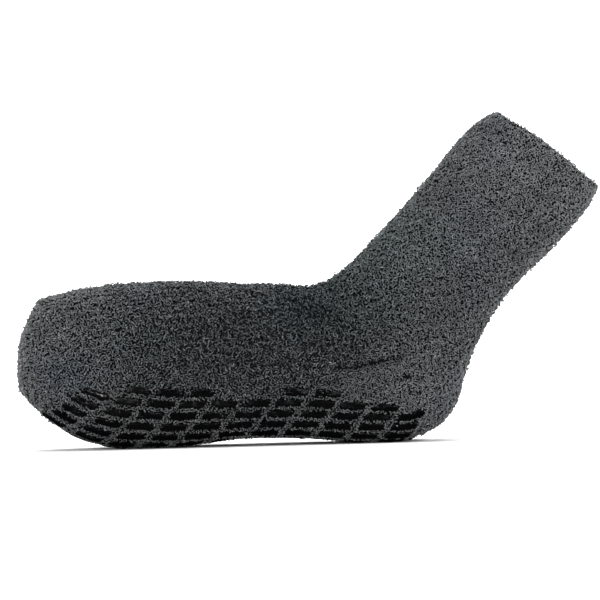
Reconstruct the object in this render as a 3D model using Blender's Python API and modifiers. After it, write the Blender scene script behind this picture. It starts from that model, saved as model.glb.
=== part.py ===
"""Slipper sock with rubber grips printed under its sole and up its sides.

The sock stands empty on its sole, its toe towards -X and its heel and cuff
towards +X. One knitted shell runs from the closed toe to the open cuff, a seam
cord runs down the front of the toe, and rows of rubber bricks wrap the sole.
Lengths are in metres and Z points up from the floor.
"""

import math
from collections import namedtuple

import bmesh
import bpy
import numpy as np

# Foot
FOOT_LENGTH = 0.245
FOOT_HEIGHT = 0.092
BALL_WIDTH = 0.065

# Leg: its length runs from the middle of the ankle to the middle of the cuff
LEG_LENGTH = 0.130
LEG_DEPTH = 0.069
LEG_WIDTH = 0.052
LEG_LEAN = math.radians(40.0)
ANKLE_ALONG = 0.88 * FOOT_LENGTH
ANKLE_UP = 0.665 * FOOT_HEIGHT

# Knitted wall and the seam cord at the toe
WALL = 0.003
SEAM_THICKNESS = 0.0024
SEAM_END_SIZE = 0.55
SEAM_START = 0.03
SEAM_END = 0.97

# Rubber grips
GRIP_LENGTH = 0.0140
GRIP_WIDTH = 0.0045
GRIP_RAISE = 0.0010
GRIP_SLANT = 0.45
GRIP_PITCH = 0.0176
ROW_PITCH = 0.0066
ROW_SHIFT = 0.0046
ROW_STRETCH = 0.013
OUTER_ROW = 8
STRAIGHT_ROW = 3
PRINT_MIDDLE = 0.49 * FOOT_LENGTH
FILM = 0.0004
CLEARANCE = 0.0003
STAND = CLEARANCE + FILM + GRIP_RAISE

# How finely the surfaces are cut
TOP_SEGMENTS = 7
HALF_RINGS = (1.5, 2.5, 3.5, 4.5, 7.5, 8.5, 9.5, 12.5, 13.5, 14.5)
FLOOR_POINTS = 6
CORNER_POINTS = 24
TOP_POINTS = 32
ROW_SAMPLES = 420
SEAM_POINTS = 15
SEAM_SEGMENTS = 2
BRICK_STOPS = 3

# Small distances: between shares for a direction, ahead along a row, how far
# beside a brick its row's edge is looked for, and where two points are one
NORMAL_STEP = 0.02
LOOK_AHEAD = 0.001
LOOK_AROUND = 0.03
SAME_PLACE = 1e-6
PLACE_DIGITS = 9

# Sections across the foot, from the toe to the ankle. Lengths along the foot
# are shares of FOOT_LENGTH from the toe tip, heights and bows are shares of
# FOOT_HEIGHT, and widths are shares of half of BALL_WIDTH. The belly is how
# far up the section is widest, the floor is the half-width of its flat
# bottom, and a bow curves the section forwards.
FootRow = namedtuple("FootRow", "top_x top_z sole_x sole_z width floor belly crown bow")
FOOT_ROWS = (
    FootRow(0.054, 0.900, 0.005, 0.445, 0.000, 0.000, 0.48, 2.0, 0.038),
    FootRow(0.064, 0.919, 0.010, 0.390, 0.340, 0.140, 0.47, 2.0, 0.044),
    FootRow(0.085, 0.932, 0.028, 0.310, 0.570, 0.290, 0.44, 2.1, 0.050),
    FootRow(0.126, 0.956, 0.074, 0.200, 0.780, 0.420, 0.40, 2.2, 0.050),
    FootRow(0.186, 0.986, 0.145, 0.088, 0.920, 0.450, 0.37, 2.2, 0.030),
    FootRow(0.254, 1.005, 0.224, 0.026, 0.985, 0.452, 0.35, 2.1, 0.012),
    FootRow(0.334, 1.018, 0.321, 0.010, 1.000, 0.452, 0.34, 2.0, 0.000),
    FootRow(0.415, 1.008, 0.417, 0.032, 0.990, 0.480, 0.34, 2.0, 0.000),
    FootRow(0.495, 0.995, 0.508, 0.060, 0.970, 0.540, 0.33, 1.9, 0.000),
    FootRow(0.570, 0.986, 0.599, 0.060, 0.955, 0.570, 0.33, 1.9, 0.000),
    FootRow(0.631, 0.973, 0.690, 0.045, 0.950, 0.570, 0.33, 1.9, 0.000),
    FootRow(0.665, 0.971, 0.769, 0.018, 0.955, 0.570, 0.33, 1.9, 0.000),
    FootRow(0.693, 0.987, 0.850, 0.010, 0.965, 0.560, 0.33, 1.9, 0.000),
    FootRow(0.718, 1.015, 0.929, 0.044, 0.960, 0.460, 0.34, 1.9, 0.000),
    FootRow(0.743, 1.056, 0.984, 0.149, 0.940, 0.280, 0.36, 2.0, 0.000),
)

# Sections across the leg, from the ankle to the cuff. Lengths up the leg are
# shares of LEG_LENGTH, those out to the front and back are shares of
# LEG_DEPTH, and widths are shares of half of LEG_WIDTH.
LegRow = namedtuple("LegRow", "front_up front_out back_up back_out width floor belly crown bow")
LEG_ROWS = (
    LegRow(0.102, -0.677, -0.047, 0.680, 1.160, 0.240, 0.40, 2.0, 0.000),
    LegRow(0.168, -0.652, 0.069, 0.579, 1.140, 0.160, 0.44, 2.0, 0.000),
    LegRow(0.259, -0.644, 0.192, 0.519, 1.110, 0.100, 0.47, 2.0, 0.000),
    LegRow(0.355, -0.623, 0.313, 0.482, 1.090, 0.060, 0.49, 2.0, 0.000),
    LegRow(0.492, -0.611, 0.465, 0.480, 1.070, 0.030, 0.50, 2.0, 0.000),
    LegRow(0.634, -0.598, 0.648, 0.537, 1.050, 0.000, 0.50, 2.1, 0.000),
    LegRow(0.793, -0.609, 0.808, 0.565, 1.030, 0.000, 0.50, 2.2, 0.000),
    LegRow(0.934, -0.573, 0.930, 0.557, 1.010, 0.000, 0.50, 2.2, -0.020),
    LegRow(0.994, -0.497, 1.006, 0.505, 1.000, 0.000, 0.50, 2.2, -0.035),
)

# Where bricks are printed: each row counts outwards from the middle of the
# sole, and its bricks' centres lie between two shares of FOOT_LENGTH.
PrintSpan = namedtuple("PrintSpan", "row front back part")
PRINT_SPANS = (
    PrintSpan(0, 0.085, 0.880, ""),
    PrintSpan(1, 0.085, 0.880, ""),
    PrintSpan(2, 0.080, 0.880, ""),
    PrintSpan(3, 0.075, 0.875, ""),
    PrintSpan(4, 0.090, 0.875, ""),
    PrintSpan(5, 0.120, 0.895, ""),
    PrintSpan(6, 0.145, 0.910, ""),
    PrintSpan(7, 0.170, 0.870, ""),
    PrintSpan(8, 0.260, 0.450, "_ball"),
    PrintSpan(8, 0.600, 0.760, "_heel"),
)

# How far round the girth the rows lie at a station, as a share of how far they
# lie at the ball: the print runs straighter than the knit does.
PrintSpread = namedtuple("PrintSpread", "station spread")
PRINT_SPREADS = (
    PrintSpread(0.0, 1.16),
    PrintSpread(3.0, 1.15),
    PrintSpread(4.0, 1.10),
    PrintSpread(5.0, 1.04),
    PrintSpread(6.0, 1.00),
    PrintSpread(7.0, 0.965),
    PrintSpread(8.0, 0.94),
    PrintSpread(10.0, 0.96),
    PrintSpread(11.0, 0.965),
    PrintSpread(12.0, 0.92),
    PrintSpread(12.5, 0.87),
    PrintSpread(13.0, 0.81),
    PrintSpread(14.0, 0.74),
    PrintSpread(18.0, 0.95),
)

# Finish of each material: colour, roughness and metallic value
Finish = namedtuple("Finish", "colour roughness metallic")
KNIT = Finish((0.046, 0.051, 0.056, 1.0), 0.95, 0.0)
THREAD = Finish((0.075, 0.080, 0.086, 1.0), 0.85, 0.0)
RUBBER = Finish((0.006, 0.006, 0.007, 1.0), 0.22, 0.0)

Section = namedtuple("Section", "top_x top_z sole_x sole_z width floor belly crown bow")


def foot_section(row):
    """A row of the foot table in metres."""
    return Section(
        row.top_x * FOOT_LENGTH,
        row.top_z * FOOT_HEIGHT,
        row.sole_x * FOOT_LENGTH,
        row.sole_z * FOOT_HEIGHT,
        row.width * BALL_WIDTH / 2,
        row.floor * BALL_WIDTH / 2,
        row.belly,
        row.crown,
        row.bow * FOOT_HEIGHT,
    )


def on_leg(up, out):
    """The place of a point up the leaning leg and out across it."""
    rise, across = up * LEG_LENGTH, out * LEG_DEPTH
    x = ANKLE_ALONG + rise * math.sin(LEG_LEAN) + across * math.cos(LEG_LEAN)
    z = ANKLE_UP + rise * math.cos(LEG_LEAN) - across * math.sin(LEG_LEAN)
    return x, z


def leg_section(row):
    """A row of the leg table in metres."""
    return Section(
        *on_leg(row.front_up, row.front_out),
        *on_leg(row.back_up, row.back_out),
        row.width * LEG_WIDTH / 2,
        row.floor * LEG_WIDTH / 2,
        row.belly,
        row.crown,
        row.bow * LEG_DEPTH,
    )


SECTIONS = np.array([foot_section(r) for r in FOOT_ROWS] + [leg_section(r) for r in LEG_ROWS])
LAST = len(SECTIONS) - 1
BALL_STATION = 6
ANKLE_STATION = len(FOOT_ROWS) - 1


def section_at(station):
    """The section at a station between two rows, on a smooth curve through them."""
    station = min(max(station, 0.0), float(LAST))
    k = min(int(station), LAST - 1)
    f = station - k
    a, b, c, d = (SECTIONS[min(max(i, 0), LAST)] for i in (k - 1, k, k + 1, k + 2))
    values = b + 0.5 * f * (c - a + f * (2 * a - 5 * b + 4 * c - d + f * (3 * (b - c) + d - a)))
    found = Section(*values)
    return found._replace(sole_z=max(found.sole_z, STAND), floor=max(found.floor, 0.0))


def half_profile(section):
    """Half of a section as offsets out, shares up and lengths along it.

    It runs from the middle of the bottom out along the flat, up a quarter
    ellipse to the belly, and over the crown to the middle of the top.
    """
    height = math.hypot(section.top_x - section.sole_x, section.top_z - section.sole_z)
    flat = np.linspace(0.0, section.floor, FLOOR_POINTS, endpoint=False)
    low = np.linspace(0.0, math.pi / 2, CORNER_POINTS, endpoint=False)
    high = np.linspace(0.0, math.pi / 2, TOP_POINTS)
    power = 2.0 / section.crown
    out = np.concatenate(
        [
            flat,
            section.floor + (section.width - section.floor) * np.sin(low),
            section.width * np.clip(np.cos(high), 0.0, 1.0) ** power,
        ]
    )
    up = np.concatenate(
        [
            np.zeros(FLOOR_POINTS),
            section.belly * (1.0 - np.cos(low)),
            section.belly + (1.0 - section.belly) * np.sin(high) ** power,
        ]
    )
    steps = np.hypot(np.diff(out), np.diff(up) * height)
    along = np.concatenate([[0.0], np.cumsum(steps)])
    return out, up, along, along[FLOOR_POINTS + CORNER_POINTS]


def belly_length(station):
    """Length round half a section, from the middle of the bottom to the belly."""
    return half_profile(section_at(station))[3]


GIRTH_TO_BELLY = belly_length(BALL_STATION)
ROW_SHARE = ROW_PITCH / GIRTH_TO_BELLY
GRIP_SHARE = GRIP_WIDTH / 2 / GIRTH_TO_BELLY


def place_on(section, out, up):
    """The point of a section at an offset to the near side and a share of its height."""
    dx, dz = section.top_x - section.sole_x, section.top_z - section.sole_z
    height = math.hypot(dx, dz)
    forward = section.bow * math.sin(math.pi * up)
    x = section.sole_x + dx * up - dz / height * forward
    z = section.sole_z + dz * up + dx / height * forward
    return np.array([x, -out, z])


def surface(station, share):
    """A point of the sock's outer surface.

    share counts round the section from the middle of the bottom: 1 is the
    belly on the near side and -1 the belly on the far side.
    """
    section = section_at(station)
    out, up, along, belly = half_profile(section)
    at = abs(share) * belly
    side = math.copysign(1.0, share)
    return place_on(section, side * np.interp(at, along, out), np.interp(at, along, up))


def surface_normal(station, share):
    """The outward direction of the surface at a station and a share."""
    lengthwise = surface(station + NORMAL_STEP, share) - surface(station - NORMAL_STEP, share)
    round_it = surface(station, share + NORMAL_STEP) - surface(station, share - NORMAL_STEP)
    normal = np.cross(lengthwise, round_it)
    return normal / np.linalg.norm(normal)


def row_share(row, station, side=0.0):
    """The girth share of a printed row's middle, or of an edge if side is -1 or 1."""
    stations, spreads = zip(*PRINT_SPREADS)
    return row * ROW_SHARE * np.interp(station, stations, spreads) + side * GRIP_SHARE


def ring_shares(station):
    """Shares at the edges of the printed rows, from the middle to the near belly."""
    sides = [(row, side) for row in range(1, OUTER_ROW + 1) for side in (-1.0, 1.0)]
    return [row_share(0, station, 1.0)] + [row_share(row, station, side) for row, side in sides]


def ring(station):
    """The points round one section, from the far crown under the sole to the near crown."""
    section = section_at(station)
    out, up, along, belly = half_profile(section)
    low = [share * belly for share in ring_shares(station)]
    high = np.linspace(low[-1], along[-1], TOP_SEGMENTS + 1)[1:]
    near = np.concatenate([low, high])
    far = near[-2::-1]
    points = [place_on(section, -np.interp(a, along, out), np.interp(a, along, up)) for a in far]
    points += [place_on(section, np.interp(a, along, out), np.interp(a, along, up)) for a in near]
    return points


def body_stations():
    """Where the body is cut: at every row, and between rows on toe, arch and heel."""
    return sorted([*range(LAST + 1), *HALF_RINGS])


def finish_material(name, finish):
    """A Principled material of the finish."""
    material = bpy.data.materials.new(name)
    material.use_nodes = True
    shader = material.node_tree.nodes["Principled BSDF"]
    shader.inputs["Base Color"].default_value = finish.colour
    shader.inputs["Roughness"].default_value = finish.roughness
    shader.inputs["Metallic"].default_value = finish.metallic
    material.diffuse_color = finish.colour
    return material


def new_object(name, data, material, parent, collection):
    """An object of the sock, hung on its parent."""
    obj = bpy.data.objects.new(name, data)
    data.materials.append(material)
    collection.objects.link(obj)
    obj.parent = parent
    return obj


def loft(rings):
    """A bmesh of the closed rings joined one to the next, facing out."""
    bm = bmesh.new()
    loops = [[bm.verts.new(point) for point in points] for points in rings]
    count = len(loops[0])
    for front, back in zip(loops, loops[1:]):
        for i in range(count):
            j = (i + 1) % count
            bm.faces.new((front[i], back[i], back[j], front[j]))
    bmesh.ops.remove_doubles(bm, verts=bm.verts, dist=SAME_PLACE)
    bmesh.ops.dissolve_degenerate(bm, edges=bm.edges, dist=SAME_PLACE)
    return bm


def mesh_from(bm, name):
    """A smooth-shaded mesh made of the bmesh."""
    mesh = bpy.data.meshes.new(name)
    bm.to_mesh(mesh)
    bm.free()
    mesh.shade_smooth()
    return mesh


def add_wall(obj, thickness):
    """Gives an open surface a wall that grows inwards."""
    wall = obj.modifiers.new("wall", "SOLIDIFY")
    wall.thickness = thickness
    wall.offset = -1.0
    wall.use_even_offset = True
    wall.use_quality_normals = True


def build_body(parent, collection):
    """The knitted shell, closed at the toe and open at the cuff."""
    mesh = mesh_from(loft([ring(s) for s in body_stations()]), "sock_body")
    body = new_object("sock_body", mesh, finish_material("knit", KNIT), parent, collection)
    add_wall(body, WALL)
    return body


def build_toe_seam(parent, collection):
    """A cord of linking thread down the front of the toe, thinning to its ends."""
    curve = bpy.data.curves.new("toe_seam", "CURVE")
    curve.dimensions = "3D"
    curve.bevel_depth = SEAM_THICKNESS / 2
    curve.bevel_resolution = SEAM_SEGMENTS
    curve.use_fill_caps = True
    section = section_at(0.0)
    lift = CLEARANCE + SEAM_THICKNESS / 2
    shares = np.linspace(SEAM_START, SEAM_END, SEAM_POINTS)
    line = curve.splines.new("POLY")
    line.points.add(len(shares) - 1)
    for point, up in zip(line.points, shares):
        before, after = (place_on(section, 0.0, up + step) for step in (-NORMAL_STEP, NORMAL_STEP))
        x, y, z = place_on(section, 0.0, up) + lift * forward_of(after - before)
        point.co = (x, y, z, 1.0)
        point.radius = SEAM_END_SIZE + (1.0 - SEAM_END_SIZE) * math.sqrt(math.sin(math.pi * up))
    return new_object("toe_seam", curve, finish_material("thread", THREAD), parent, collection)


def forward_of(climb):
    """The direction out of the toe, square to a line that climbs its front."""
    out = np.array([-climb[2], 0.0, climb[0]])
    return out / np.linalg.norm(out)


def row_line(row, side=0.0):
    """Stations and points along the middle of a printed row or along one edge."""
    stations = np.linspace(0.0, float(ANKLE_STATION), ROW_SAMPLES)
    return stations, np.array([surface(s, row_share(row, s, side)) for s in stations])


def lengths_along(points):
    """Length along a line of points from its first point to each."""
    return np.concatenate([[0.0], np.cumsum(np.linalg.norm(np.diff(points, axis=0), axis=1))])


def brick_centres(row, span):
    """How far along the foot the bricks of a row lie, in metres from the toe tip."""
    pitch = GRIP_PITCH * (1.0 + ROW_STRETCH * (OUTER_ROW - 1 - max(abs(row), STRAIGHT_ROW)))
    start = PRINT_MIDDLE + ROW_SHIFT * row
    low, high = span.front * FOOT_LENGTH, span.back * FOOT_LENGTH
    first, last = math.ceil((low - start) / pitch), math.floor((high - start) / pitch)
    return [start + n * pitch for n in range(first, last + 1)]


def station_beside(points, along, edge, reach):
    """The station on an edge line that lies beside a point of the middle line, off by the reach."""
    edge_stations, edge_points = edge
    lengths = lengths_along(points)
    here = np.array([np.interp(along, lengths, points[:, i]) for i in range(3)])
    ahead = np.array([np.interp(along + LOOK_AHEAD, lengths, points[:, i]) for i in range(3)])
    travel = (ahead - here) / np.linalg.norm(ahead - here)
    offsets = (edge_points - here) @ travel
    nearby = np.abs(offsets) < LOOK_AROUND
    return np.interp(reach, offsets[nearby], edge_stations[nearby])


def row_stops(points, centres):
    """Lengths along a row where its bricks start, bend and end."""
    lengths = lengths_along(points)
    stops = []
    for x in centres:
        along = np.interp(x, points[:, 0], lengths)
        stops += [along - GRIP_LENGTH / 2, along, along + GRIP_LENGTH / 2]
    return stops


def row_corners(row, centres):
    """Pairs of film corners along a row: base points and outward directions."""
    _, middle = row_line(row)
    edges = {side: row_line(row, side) for side in (-1.0, 1.0)}
    pairs = []
    for along in row_stops(middle, centres):
        pair = []
        for side, edge in edges.items():
            reach = side * GRIP_SLANT * GRIP_WIDTH / 2
            station = station_beside(middle, along, edge, reach)
            share = row_share(row, station, side)
            pair.append((surface(station, share), surface_normal(station, share)))
        pairs.append(pair)
    return pairs


def build_grip_row(row, span, parent, collection, material):
    """One row of rubber bricks joined by the thin film that they are printed with."""
    centres = brick_centres(row, span)
    pairs = row_corners(row, centres)
    bm = bmesh.new()
    levels = []
    for height in (CLEARANCE, CLEARANCE + FILM):
        levels.append([[bm.verts.new(base + height * normal) for base, normal in pair] for pair in pairs])
    under, film = levels
    tops = []
    for i in range(len(pairs) - 1):
        bm.faces.new((under[i][0], under[i][1], under[i + 1][1], under[i + 1][0]))
        for a, b in ((0, 0), (1, 1)):
            quad = (under[i][a], under[i + 1][a], film[i + 1][b], film[i][b])
            bm.faces.new(quad if a == 0 else quad[::-1])
        top = bm.faces.new((film[i][0], film[i + 1][0], film[i + 1][1], film[i][1]))
        if (i + 1) % BRICK_STOPS:
            tops.append(top)
    bm.faces.new((under[0][0], film[0][0], film[0][1], under[0][1]))
    bm.faces.new((under[-1][0], under[-1][1], film[-1][1], film[-1][0]))
    raise_bricks(bm, tops, {v: n for pair, vs in zip(pairs, film) for (_, n), v in zip(pair, vs)})
    bmesh.ops.recalc_face_normals(bm, faces=bm.faces)
    name = f"grip_row_{OUTER_ROW + 1 - row:02d}{span.part}"
    return new_object(name, mesh_from(bm, name), material, parent, collection)


def place_key(vert):
    """A vertex's place, rounded, to find it again by."""
    return tuple(round(c, PLACE_DIGITS) for c in vert.co)


def raise_bricks(bm, tops, normals):
    """Raises the bricks' faces out of the film along the surface's own directions."""
    places = {place_key(v): normal for v, normal in normals.items()}
    raised = bmesh.ops.extrude_face_region(bm, geom=tops)
    bmesh.ops.delete(bm, geom=tops, context="FACES_ONLY")
    for item in raised["geom"]:
        if isinstance(item, bmesh.types.BMVert):
            normal = places[place_key(item)]
            item.co = [c + GRIP_RAISE * n for c, n in zip(item.co, normal)]


def centre_over_origin(root, objects):
    """Moves the sock so that the origin is under the middle of its box."""
    bpy.context.view_layer.update()
    corners = [obj.matrix_world @ v.co for obj in objects if obj.type == "MESH" for v in obj.data.vertices]
    seam_front = min(p.co.x for o in objects if o.type == "CURVE" for p in o.data.splines[0].points)
    low = min(seam_front - SEAM_THICKNESS / 2, min(c.x for c in corners))
    high = max(c.x for c in corners)
    root.location.x = -(low + high) / 2


def main():
    """Clears the scene and builds the sock."""
    for obj in list(bpy.data.objects):
        bpy.data.objects.remove(obj)
    collection = bpy.data.collections.new("slipper_sock")
    bpy.context.scene.collection.children.link(collection)
    root = bpy.data.objects.new("sock_place", None)
    collection.objects.link(root)
    made = [build_body(root, collection), build_toe_seam(root, collection)]
    rubber = finish_material("rubber", RUBBER)
    for span in PRINT_SPANS:
        for row in sorted({span.row, -span.row}, reverse=True):
            made.append(build_grip_row(row, span, root, collection, rubber))
    centre_over_origin(root, made)


main()
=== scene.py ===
"""Slipper sock: fluffy chenille knit with rubber grips printed round its sole.

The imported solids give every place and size. This script dresses them: a dark
ground knit under a pile of small bent loops, glossy rubber bricks sunk in the
pile, and a smooth linked seam down the toe. The toe points to -X, the heel and
cuff to +X, and the sole stands on the floor at Z = 0. Lengths are in metres.
"""

import logging
import math
from dataclasses import dataclass, field
from enum import Enum
from itertools import product

import bmesh
import bpy
import numpy as np
from mathutils import Matrix, Vector
from mathutils.bvhtree import BVHTree
from mathutils.kdtree import KDTree


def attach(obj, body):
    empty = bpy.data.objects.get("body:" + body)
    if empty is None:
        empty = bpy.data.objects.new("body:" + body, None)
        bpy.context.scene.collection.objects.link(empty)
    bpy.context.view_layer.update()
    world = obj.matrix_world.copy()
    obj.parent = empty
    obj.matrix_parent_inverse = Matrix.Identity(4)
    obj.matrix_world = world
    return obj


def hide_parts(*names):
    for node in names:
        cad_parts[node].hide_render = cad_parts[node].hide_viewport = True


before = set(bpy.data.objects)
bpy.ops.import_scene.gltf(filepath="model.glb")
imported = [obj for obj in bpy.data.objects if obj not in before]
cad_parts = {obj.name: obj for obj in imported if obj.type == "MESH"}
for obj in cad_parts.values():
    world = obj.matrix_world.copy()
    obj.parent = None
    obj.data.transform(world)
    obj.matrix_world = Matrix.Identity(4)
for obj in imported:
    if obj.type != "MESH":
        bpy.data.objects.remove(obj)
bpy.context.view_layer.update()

LOG = logging.getLogger("slipper_sock")
Array = np.ndarray
Socket = bpy.types.NodeSocket
Place = tuple[float, float, float]
Colour = tuple[float, float, float, float]
Pairs = tuple[tuple[float, float], ...]

FOOT_LENGTH = 0.245
FOOT_HEIGHT = 0.092
TOE_TIP = -0.1624
LEG_LEAN = math.radians(40.0)
LEG_UP = np.array([math.sin(LEG_LEAN), 0.0, math.cos(LEG_LEAN)])
LEG_BACK = np.array([math.cos(LEG_LEAN), 0.0, -math.sin(LEG_LEAN)])
BLACK = (0.0, 0.0, 0.0, 1.0)
WAVE_COUNT = 7
BROAD_SWELL = 0.00022
SMALL_SWELL = 0.00012


class Side(Enum):
    """Which face of the knitted wall a point lies on."""

    OUTSIDE = 0
    INSIDE = 1


class Zone(Enum):
    """Where on the sock a piece of pile lies."""

    TOE = "pile_toe"
    BALL = "pile_ball"
    ARCH = "pile_arch"
    HEEL = "pile_heel"
    ANKLE = "pile_ankle"
    LEG = "pile_leg"
    CUFF = "pile_cuff"


@dataclass(frozen=True)
class Crease:
    """A soft trough pressed into the knit on both sides of the sock.

    Its line runs through places given as shares of the foot's length from the
    toe tip and of its height from the floor.
    """

    line: Pairs
    depth: float
    width: float
    # How much darker the loops along the line are: painted shade.
    shade: float
    parting: float = 0.0

    def points(self) -> Array:
        """The line's places in metres, along the foot and up from the floor."""
        shares = np.array(self.line)
        return np.column_stack([TOE_TIP + shares[:, 0] * FOOT_LENGTH, shares[:, 1] * FOOT_HEIGHT])

    def distance(self, places: Array) -> Array:
        """Distance of each place to the line in metres, seen from the side."""
        flat = places[:, [0, 2]]
        nearest = np.full(len(flat), np.inf)
        corners = self.points()
        for start, end in zip(corners, corners[1:]):
            span = end - start
            along = np.clip((flat - start) @ span / (span @ span), 0.0, 1.0)
            gap = np.linalg.norm(flat - (start + along[:, None] * span), axis=1)
            nearest = np.minimum(nearest, gap)
        return nearest


# The turn of the heel, a tick and a dash behind it, three folds at the ankle and one at
# the instep. Each row: line, depth, width, painted shade along the line, parting.
CREASES = (
    Crease(((0.735, 0.457), (0.772, 0.458), (0.822, 0.487), (0.877, 0.508)), 0.0012, 0.0014, 0.55, 0.00045),
    Crease(((0.885, 0.400), (0.892, 0.392)), 0.0007, 0.0012, 0.35, 0.0004),
    Crease(((0.895, 0.300), (0.916, 0.298)), 0.0008, 0.0012, 0.35, 0.0004),
    Crease(((0.646, 0.925), (0.652, 0.760), (0.660, 0.590)), 0.0006, 0.0030, 0.14),
    Crease(((0.681, 0.945), (0.684, 0.780), (0.694, 0.610)), 0.0007, 0.0032, 0.16),
    Crease(((0.718, 0.970), (0.722, 0.800), (0.735, 0.640)), 0.0006, 0.0032, 0.13),
    Crease(((0.660, 0.960), (0.690, 0.930), (0.730, 0.945)), 0.0008, 0.0040, 0.10),
)


@dataclass(frozen=True)
class Patch:
    """A soft round area of the knit, seen from the side, and how strongly it counts.

    Places and reaches are shares of the foot's length and height, as for a crease.
    """

    along: float
    up: float
    reach_along: float
    reach_up: float
    amount: float

    def weight(self, places: Array) -> Array:
        """How much each place lies in the patch, from 0 to its amount."""
        across = (places[:, 0] - TOE_TIP) / FOOT_LENGTH - self.along
        rise = places[:, 2] / FOOT_HEIGHT - self.up
        spread = (across / self.reach_along) ** 2 + (rise / self.reach_up) ** 2
        return self.amount * np.exp(-spread)


# Each row: along, up, reach along, reach up, amount.
FINE_PATCHES = (
    Patch(0.820, 0.370, 0.090, 0.130, 0.9),
    Patch(0.935, 0.270, 0.080, 0.260, 1.0),
    Patch(0.060, 0.600, 0.030, 0.300, 0.6),
    Patch(1.100, 1.550, 0.300, 0.750, 0.9),
)
# Painted light: the knit is lighter on the toe, heel, calf and cuff.
PAINTED_LIGHT_PATCHES = (
    Patch(0.820, 0.360, 0.100, 0.120, 0.14),
    Patch(0.950, 0.300, 0.110, 0.320, 0.27),
    Patch(0.120, 0.920, 0.120, 0.120, 0.06),
    Patch(0.080, 0.640, 0.090, 0.450, 0.10),
    Patch(0.018, 0.620, 0.024, 0.320, 0.22),
    Patch(0.960, 1.180, 0.150, 0.350, 0.12),
    Patch(1.190, 1.700, 0.180, 0.400, 0.26),
)
# Painted shade: the knit is darker over the middle of the foot and at the ankle.
PAINTED_SHADE_PATCHES = (
    Patch(0.690, 0.780, 0.080, 0.240, 0.16),
    Patch(0.400, 0.640, 0.160, 0.360, 0.16),
    Patch(0.590, 0.660, 0.300, 0.480, 0.46),
)
BLUE_PATCHES = (
    Patch(0.652, 0.808, 0.080, 0.120, 0.9),
    Patch(0.126, 0.451, 0.060, 0.130, 0.8),
)
GREEN_PATCHES = (
    Patch(0.330, 0.640, 0.160, 0.260, 0.6),
    Patch(0.720, 0.760, 0.220, 0.340, 0.7),
    Patch(0.860, 1.250, 0.140, 0.360, 0.6),
)


def gathered(patches: tuple[Patch, ...], places: Array) -> Array:
    """The patches' weights added up and held at 1."""
    return np.minimum(sum(patch.weight(places) for patch in patches), 1.0)


def soft_waves(places: Array, size: float, seed: int) -> Array:
    """Smooth uneven waves in space.

    Args:
        places: points as rows of x, y and z.
        size: length of a wave in metres.
        seed: fixes the waves' directions.

    Returns:
        One value for each point, mostly between -1 and 1.
    """
    rng = np.random.default_rng(seed)
    total = np.zeros(len(places))
    for _ in range(WAVE_COUNT):
        direction = rng.normal(size=3)
        direction *= 2.0 * math.pi / size * rng.uniform(0.6, 1.5) / np.linalg.norm(direction)
        total += np.sin(places @ direction + rng.uniform(0.0, 2.0 * math.pi))
    return total / math.sqrt(WAVE_COUNT)


def knit_relief(places: Array) -> Array:
    """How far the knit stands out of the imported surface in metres, below zero in the creases."""
    height = BROAD_SWELL * soft_waves(places, 0.034, 3) + SMALL_SWELL * soft_waves(places, 0.013, 4)
    for crease in CREASES:
        gap = crease.distance(places)
        trough = np.exp(-((gap / crease.width) ** 2))
        ridge = np.exp(-(((gap - 2.0 * crease.width) / crease.width) ** 2))
        height += crease.depth * (0.25 * ridge - trough)
    return height


def depth_from_cuff(places: Array, wall: Array) -> Array:
    """How far down the leg each place lies from the top of the wall's places."""
    return (wall @ LEG_UP).max() - places @ LEG_UP


def unit(vectors: Array) -> Array:
    """The vectors at length 1."""
    return vectors / np.maximum(np.linalg.norm(vectors, axis=1, keepdims=True), 1e-12)


def dots(one: Array, other: Array) -> Array:
    """The dot product of each pair of rows."""
    return np.einsum("ij,ij->i", one, other)


def point_tree(points: list[Vector]) -> KDTree:
    """A search tree of points, numbered in their order."""
    tree = KDTree(len(points))
    for i, point in enumerate(points):
        tree.insert(point, i)
    tree.balance()
    return tree


def placed(name: str, data: bpy.types.ID) -> bpy.types.Object:
    """A new object that holds the data, linked to the scene."""
    obj = bpy.data.objects.new(name, data)
    bpy.context.scene.collection.objects.link(obj)
    return obj


def mesh_object(name: str, places: Array, triangles: Array) -> bpy.types.Object:
    """A smooth-shaded mesh object made from arrays.

    Args:
        name: the object's name.
        places: vertices as rows of x, y and z.
        triangles: rows of three vertex numbers.

    Returns:
        The new object, linked to the scene.
    """
    mesh = bpy.data.meshes.new(name)
    mesh.vertices.add(len(places))
    mesh.vertices.foreach_set("co", places.astype(np.float32).ravel())
    mesh.loops.add(3 * len(triangles))
    mesh.loops.foreach_set("vertex_index", triangles.astype(np.int32).ravel())
    mesh.polygons.add(len(triangles))
    mesh.polygons.foreach_set("loop_start", np.arange(0, 3 * len(triangles), 3, dtype=np.int32))
    mesh.update(calc_edges=True)
    mesh.shade_smooth()
    return placed(name, mesh)


def finished(name: str, bm: bmesh.types.BMesh, material: bpy.types.Material) -> bpy.types.Object:
    """A smooth-shaded object made from the bmesh, which is freed, in one material."""
    mesh = bpy.data.meshes.new(name)
    bm.to_mesh(mesh)
    bm.free()
    mesh.shade_smooth()
    mesh.materials.clear()
    mesh.materials.append(material)
    return placed(name, mesh)


def write_values(obj: bpy.types.Object, name: str, values: Array) -> None:
    """Keeps one number for each vertex of the object, for its material."""
    layer = obj.data.attributes.new(name=name, type="FLOAT", domain="POINT")
    layer.data.foreach_set("value", values.astype(np.float32))


def welded_copy(node: str) -> bmesh.types.BMesh:
    """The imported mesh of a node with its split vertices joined."""
    bm = bmesh.new()
    bm.from_mesh(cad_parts[node].data)
    bmesh.ops.remove_doubles(bm, verts=bm.verts, dist=1e-6)
    return bm


def packed_wall() -> BVHTree:
    """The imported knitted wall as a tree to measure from."""
    bm = welded_copy("sock_body")
    tree = BVHTree.FromBMesh(bm)
    bm.free()
    return tree


def triangle_count(obj: bpy.types.Object) -> int:
    """How many triangles the object's mesh has."""
    return sum(len(face.vertices) - 2 for face in obj.data.polygons)


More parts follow.
